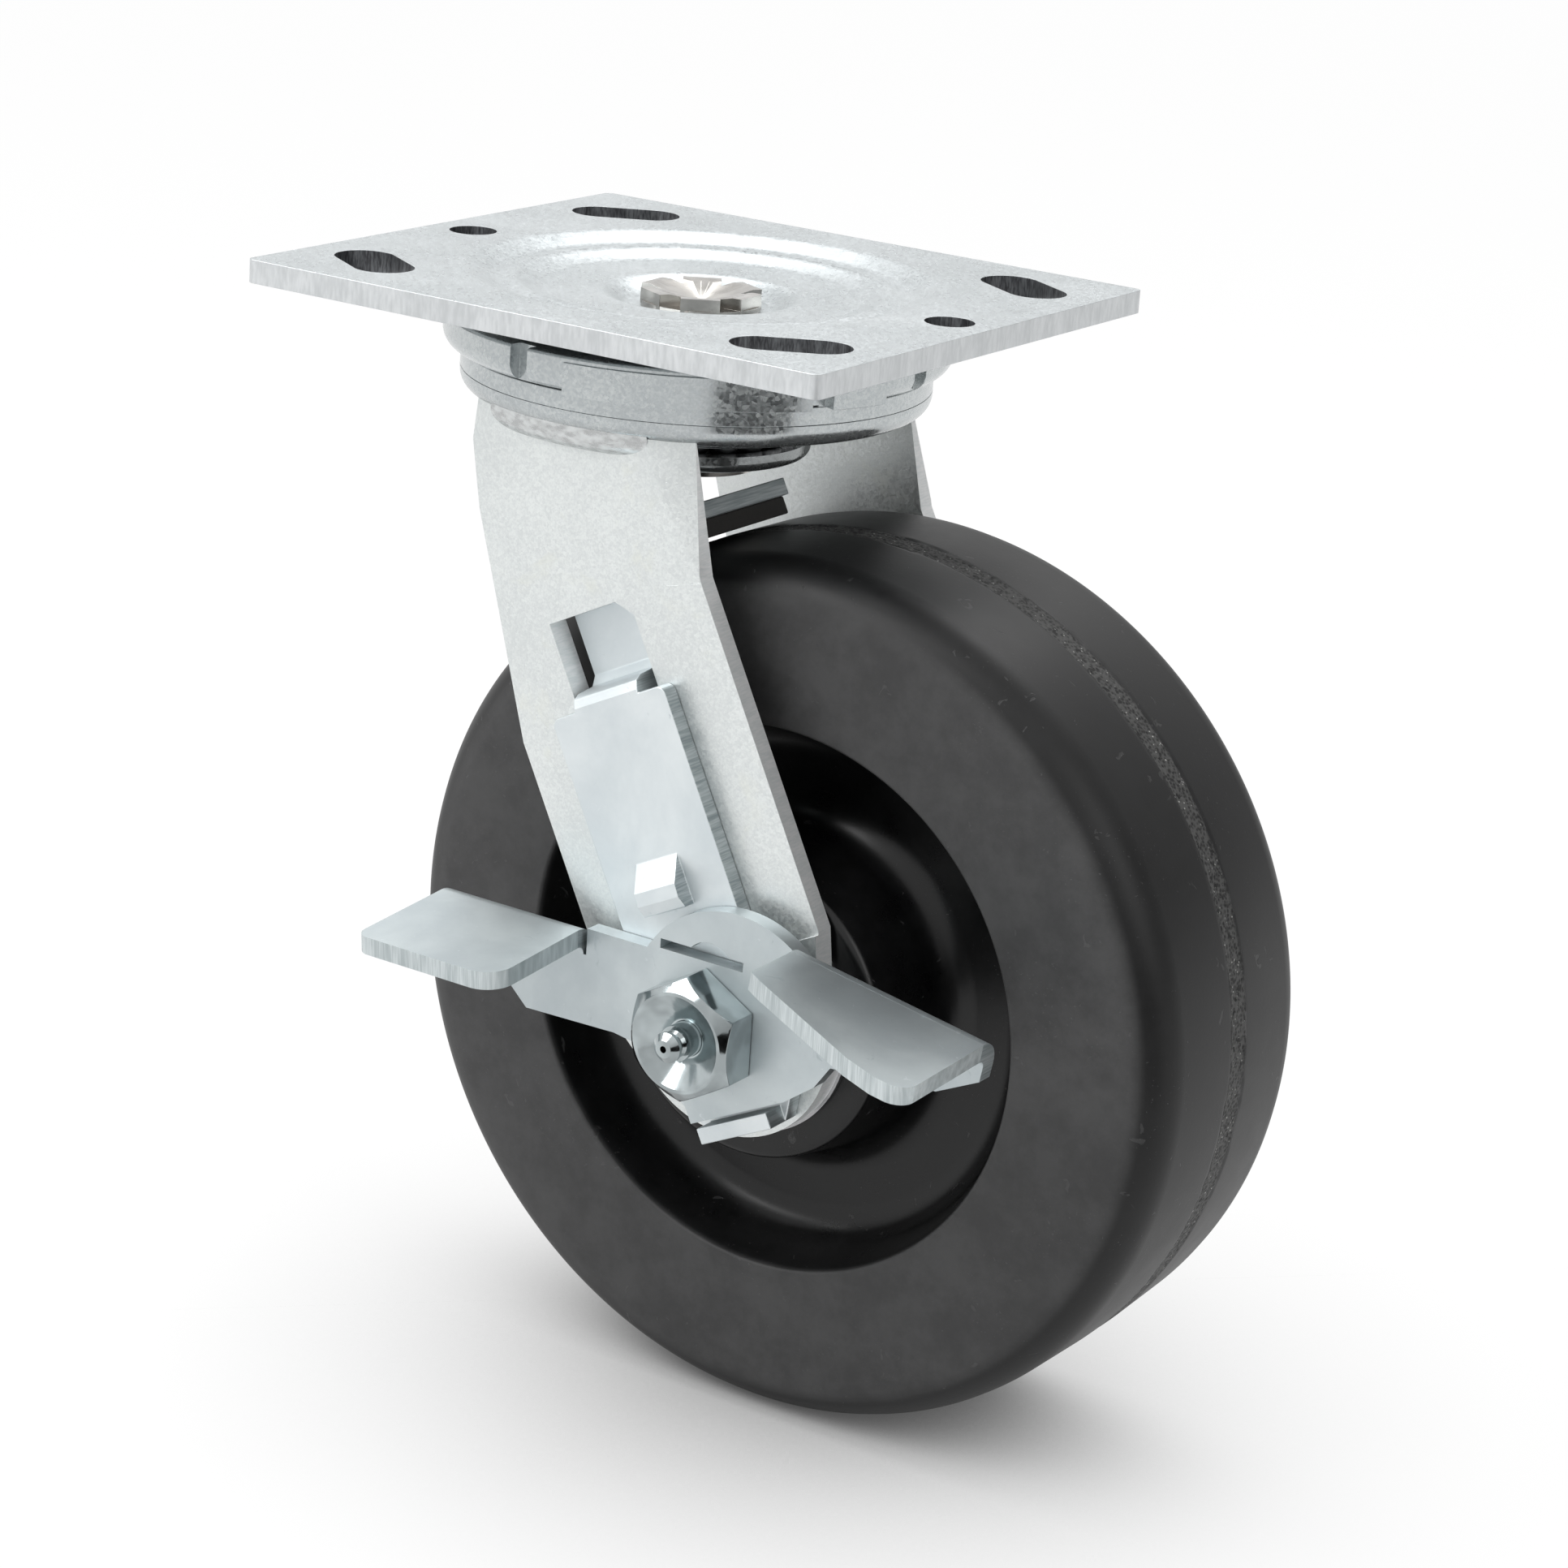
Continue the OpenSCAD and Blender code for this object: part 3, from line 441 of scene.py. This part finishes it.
def lever_cut(normal, middle):
    if middle.y < FOOT_PADS_Y:
        return CUT_TAB if abs(normal.z) < 0.5 else None
    return CUT_SHEET if abs(normal.y) < 0.2 and middle.y > LEVER_OUTSIDE_Y and middle.z < LEVER_LOW_Z else None


# Width of each broken edge in millimetres, then what broken_edges takes after it
EDGES = {
    "top_plate": (0.35, plate_cut), "seal_ring": (0.2,), "upper_race": (0.25,), "near_leg": (0.3, leg_cut),
    "far_leg": (0.3, leg_cut), "brake_arm": (0.25, arm_cut, 16), "brake_lever": (0.28, lever_cut),
    "axle_bolt": (0.18,), "lock_nut": (0.2,), "king_pin": (0.12,), "brake_pad": (0.3,),
}
for node, choices in EDGES.items():
    broken_edges(node, *choices)


# Wheel, turned from its section

BOSS_DRAFT = 3.2 * MM
RECESS_DRAFT = 3.6 * MM
WEB_FILLET = 6.0 * MM
# Distances of the points on the tread from the wheel's middle, in millimetres, close where it is torn
PARTING_ROWS = (3.6, 3.1, 2.6, 2.1, 1.6, 1.1, 0.55, 0.0)


def rounded(points, radii, steps=7):
    """Corners of a closed outline replaced by arcs."""
    outline = []
    for i, (point, radius) in enumerate(zip(points, radii)):
        corner = Vector(point)
        if radius == 0:
            outline.append(corner)
            continue
        before = Vector(points[i - 1]) - corner
        after = Vector(points[(i + 1) % len(points)]) - corner
        half = before.angle(after) / 2
        reach = radius / math.tan(half)
        middle = corner + (before.normalized() + after.normalized()).normalized() * radius / math.sin(half)
        start = corner + before.normalized() * reach - middle
        end = corner + after.normalized() * reach - middle
        turn = start.angle_signed(end)
        for step in range(steps + 1):
            a = -turn * step / steps
            outline.append(middle + Vector((start.x * math.cos(a) - start.y * math.sin(a),
                                            start.x * math.sin(a) + start.y * math.cos(a))))
    return outline


def wheel_section():
    """Closed section of the wheel as radius and distance along the axle, in metres."""
    half = [
        ((SLEEVE_R, HUB_HALF_L), 0.6 * MM),
        ((BOSS_R, HUB_HALF_L), 1.6 * MM),
        ((BOSS_R + BOSS_DRAFT, WEB_HALF_T), WEB_FILLET),
        ((RECESS_R - RECESS_DRAFT, WEB_HALF_T), WEB_FILLET),
        ((RECESS_R, WHEEL_HALF_W), 0.7 * MM),
        ((WHEEL_R - TREAD_FALL, WHEEL_HALF_W), SHOULDER_R),
    ]
    half += [((WHEEL_R, y * MM), 0) for y in PARTING_ROWS]
    whole = half + [((r, -y), radius) for (r, y), radius in reversed(half[:-1])]
    return rounded([point for point, _ in whole], [radius for _, radius in whole])


class Shape(Tree):
    """A geometry tree with named inputs, run once on a piece and then taken off."""

    def __init__(self, name, **sizes):
        self.group = bpy.data.node_groups.new(name, "GeometryNodeTree")
        super().__init__(self.group.nodes, self.group.links)
        face = self.group.interface
        face.new_socket("Geometry", in_out="OUTPUT", socket_type="NodeSocketGeometry")
        face.new_socket("Geometry", in_out="INPUT", socket_type="NodeSocketGeometry")
        self.values = {}
        for key, value in sizes.items():
            kind = "NodeSocketInt" if isinstance(value, int) else "NodeSocketFloat"
            socket = face.new_socket(key.replace("_", " "), in_out="INPUT", socket_type=kind)
            self.values[socket.identifier] = value
        self.given = self.nodes.new("NodeGroupInput")
        self.result = self.nodes.new("NodeGroupOutput")

    def size(self, name):
        return Value(self, self.given.outputs[name])

    def run(self, geometry, material, piece):
        real = self.add("GeometryNodeRealizeInstances", {}, {0: geometry})
        done = self.add("GeometryNodeSetMaterial", {}, {"Geometry": real, "Material": material})
        self.set(self.result.inputs[0], done)
        maker = piece.modifiers.new("maker", "NODES")
        maker.node_group = self.group
        for identifier, value in self.values.items():
            maker[identifier] = value
        finished_mesh(piece)


def section_curve():
    """The wheel's section as a closed curve, measured from the tread."""
    points = wheel_section()
    curve = bpy.data.curves.new("wheel_section", "CURVE")
    curve.dimensions = "3D"
    spline = curve.splines.new("POLY")
    spline.points.add(len(points) - 1)
    for point, (r, y) in zip(spline.points, points):
        point.co = (r - WHEEL_R, y, 0, 1)
    spline.use_cyclic_u = True
    holder = bpy.data.objects.new("wheel_section", curve)
    bpy.context.scene.collection.objects.link(holder)
    return holder


def turned_wheel():
    """The wheel: its section carried round a circle, with the parting line torn into the tread."""
    section = section_curve()
    shape = Shape("wheel_turning", Wheel_radius=WHEEL_R, Steps_round=600, Parting_half_width=2.8 * MM,
                  Parting_depth=0.3 * MM, Tear_size=340.0)
    path = shape.add("GeometryNodeCurvePrimitiveCircle", {}, {"Resolution": shape.size("Steps round"),
                                                            "Radius": shape.size("Wheel radius")})
    path = shape.add("GeometryNodeSetCurveNormal", {"mode": "Z_UP"}, {0: path})
    profile = shape.add("GeometryNodeObjectInfo", {}, {"Object": section}, output="Geometry")
    solid = shape.add("GeometryNodeCurveToMesh", {}, {"Curve": path, "Profile Curve": profile})
    placed = shape.add("GeometryNodeTransform", {}, {"Geometry": solid, "Rotation": (math.radians(90), 0, 0),
                                                   "Translation": tuple(AXLE)})

    position = shape.add("GeometryNodeInputPosition", {}, {})
    spoke = shape.vector("MULTIPLY", shape.vector("SUBTRACT", position, tuple(AXLE)), (1, 0, 1))
    out = shape.vector("LENGTH", spoke, output="Value")
    side = abs(shape.add("ShaderNodeSeparateXYZ", {}, {0: position}, output="Y"))
    tear = shape.add("ShaderNodeTexNoise", {}, {"Vector": position, "Scale": shape.size("Tear size"), "Detail": 4.0})
    wander = shape.add("ShaderNodeTexNoise", {}, {"Vector": position, "Scale": 40.0, "Detail": 2.0})
    in_line = (out > WHEEL_R - TREAD_FALL) * (side < shape.size("Parting half width") * (wander + 0.4))
    sunk = in_line * (tear - 0.25).clamped() * shape.size("Parting depth") * -2.0
    offset = shape.add("ShaderNodeVectorMath", {"operation": "SCALE"},
                       {0: shape.vector("NORMALIZE", spoke), "Scale": sunk})
    torn = shape.add("GeometryNodeSetPosition", {}, {"Geometry": placed, "Offset": offset})

    wheel = bpy.data.objects.new("wheel_turned", bpy.data.meshes.new("wheel_turned"))
    bpy.context.scene.collection.objects.link(wheel)
    shape.run(torn, RESIN, wheel)
    bpy.data.objects.remove(section)
    closed = bmesh.new()
    closed.from_mesh(wheel.data)
    bmesh.ops.remove_doubles(closed, verts=closed.verts, dist=MERGE_DISTANCE)
    bmesh.ops.recalc_face_normals(closed, faces=closed.faces)
    closed.to_mesh(wheel.data)
    closed.free()
    wheel.data.shade_smooth()
    wheel.data.set_sharp_from_angle(angle=math.radians(50))
    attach(wheel, "wheel")
    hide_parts("wheel")


turned_wheel()


# Camera, floor and light: angles in degrees, distances and sizes in metres

CAMERA_AZIMUTH = 32.75
CAMERA_ELEVATION = 18.30
CAMERA_ROLL = 3.71
CAMERA_DISTANCE = 662.6 * MM
CAMERA_RIGHT = 13.8 * MM
CAMERA_UP = -86.2 * MM
CAMERA_LENS = 89.97
CAMERA_SENSOR = 36
FLOOR_SIZE = 24
FLOOR_GLOW = 1.03
SHADOW_REACH = 110 * MM
LIGHT_FROM = (-0.62, -0.25, 0.74)
LAMPS_AIM = Vector((0.02, 0, -0.08))

# Azimuth, elevation, distance, width and height, and watts of each lamp
LAMPS = {
    "key": (-40, 50, 0.9, (0.7, 0.7), 7),
    "fill": (70, 24, 1.1, (0.5, 0.8), 2),
    "back": (200, 56, 1.0, (0.8, 0.5), 4),
}


def direction(azimuth, elevation):
    """Unit vector from the castor to a place round it, with azimuth 0 in front of the brake's side."""
    az, el = math.radians(azimuth), math.radians(elevation)
    return Vector((math.sin(az) * math.cos(el), -math.cos(az) * math.cos(el), math.sin(el)))


def photo_camera():
    az, roll = math.radians(CAMERA_AZIMUTH), math.radians(CAMERA_ROLL)
    back = direction(CAMERA_AZIMUTH, CAMERA_ELEVATION)
    level = Vector((math.cos(az), math.sin(az), 0))
    upright = back.cross(level)
    right = math.cos(roll) * level + math.sin(roll) * upright
    up = math.cos(roll) * upright - math.sin(roll) * level
    data = bpy.data.cameras.new("photo_camera")
    data.lens = CAMERA_LENS
    data.sensor_width = CAMERA_SENSOR
    camera = bpy.data.objects.new("photo_camera", data)
    turn = Matrix((right, up, back)).transposed().to_4x4()
    place = back * CAMERA_DISTANCE + right * CAMERA_RIGHT + up * CAMERA_UP
    camera.matrix_world = Matrix.Translation(place) @ turn
    bpy.context.scene.collection.objects.link(camera)
    bpy.context.scene.camera = camera


def white_floor():
    """Pale floor that shows white, with a painted shadow from ambient occlusion in its glow near the castor, and a
    little of the castor's real cast shadow.
    """
    bpy.ops.mesh.primitive_plane_add(size=FLOOR_SIZE, location=(0, 0, FLOOR_Z))
    floor = bpy.context.object
    floor.name = "floor"
    finish = Finish("floor_white", Roughness=0.9, Specular_IOR_Level=0.1)
    finish.paint(finish.mixed(finish.noise(3.0), (0.86, 0.86, 0.86), (0.88, 0.88, 0.88)))
    # Painted shadow: ambient occlusion darkens the floor's glow near the castor
    near = finish.add("ShaderNodeAmbientOcclusion", {"samples": 24}, {"Distance": SHADOW_REACH}, output="AO")
    shade = near.band(0.06, 0.99).power(0.8)
    white = finish.mixed(shade, (0.07, 0.07, 0.07), (1.0, 1.0, 1.0))
    glow = finish.add("ShaderNodeEmission", {}, {"Color": white, "Strength": FLOOR_GLOW})
    lit = Value(finish, finish.shader.outputs[0])
    blend = finish.add("ShaderNodeMixShader", {}, {0: finish.seen_directly() * 0.94, 1: lit, 2: glow})
    finish.set(finish.nodes["Material Output"].inputs["Surface"], blend)
    coat(floor, finish.material)


def studio():
    """White surroundings, dimmer for metal on the side away from the light, and soft light on all else."""
    world = bpy.data.worlds.new("studio")
    bpy.context.scene.world = world
    world.use_nodes = True
    sky = Tree(world.node_tree.nodes, world.node_tree.links)
    toward = sky.add("ShaderNodeTexCoord", {}, {}, output="Generated")
    lit_side = sky.vector("DOT_PRODUCT", toward, LIGHT_FROM, output="Value")
    glossy = sky.add("ShaderNodeLightPath", {}, {}, output="Is Glossy Ray")
    dimmed = 1.0 - glossy * (1.0 - lit_side.band(-0.75, 0.5)) * 0.72
    level = (sky.seen_directly() * dimmed).maths("MAXIMUM", 0.3)
    background = sky.nodes["Background"]
    sky.set(background.inputs["Color"], (1.0, 1.0, 1.0))
    sky.set(background.inputs["Strength"], level)


def black_flag(name, azimuth, distance, width, low, top):
    """Upright black card, which only reflections show, for a dark line along rounded edges."""
    turn = math.radians(azimuth)
    across = Vector((math.cos(turn), math.sin(turn), 0))
    outward = Vector((math.sin(turn), -math.cos(turn), 0))
    foot = Vector((AXLE.x, 0, 0)) + outward * distance
    left, right = foot - across * width / 2, foot + across * width / 2
    low, top = Vector((0, 0, low)), Vector((0, 0, top))
    card = bpy.data.objects.new(name, bpy.data.meshes.new(name))
    card.data.from_pydata([left + low, right + low, right + top, left + top], [], [(0, 1, 2, 3)])
    bpy.context.scene.collection.objects.link(card)
    finish = Finish(name + "_black", Roughness=1.0, Specular_IOR_Level=0.0)
    coat(card, finish.paint(finish.mixed(finish.noise(9.0), (0.002, 0.002, 0.002), (0.004, 0.004, 0.004))))
    card.visible_camera = False
    card.visible_diffuse = False
    card.visible_shadow = False


def soft_box(name, azimuth, elevation, distance, size, power):
    """Rectangular lamp at a distance from the castor, turned to face it."""
    spot = direction(azimuth, elevation) * distance
    data = bpy.data.lights.new(name, "AREA")
    data.shape = "RECTANGLE"
    data.size, data.size_y = size
    data.energy = power
    lamp = bpy.data.objects.new(name, data)
    lamp.location = spot + LAMPS_AIM
    lamp.rotation_euler = spot.to_track_quat("Z", "Y").to_euler()
    bpy.context.scene.collection.objects.link(lamp)


photo_camera()
white_floor()
studio()
black_flag("flag", azimuth=57, distance=0.30, width=0.22, low=FLOOR_Z + 2 * MM, top=-0.055)
for name, choices in LAMPS.items():
    soft_box(name, *choices)
bpy.context.scene.view_settings.view_transform = "Standard"
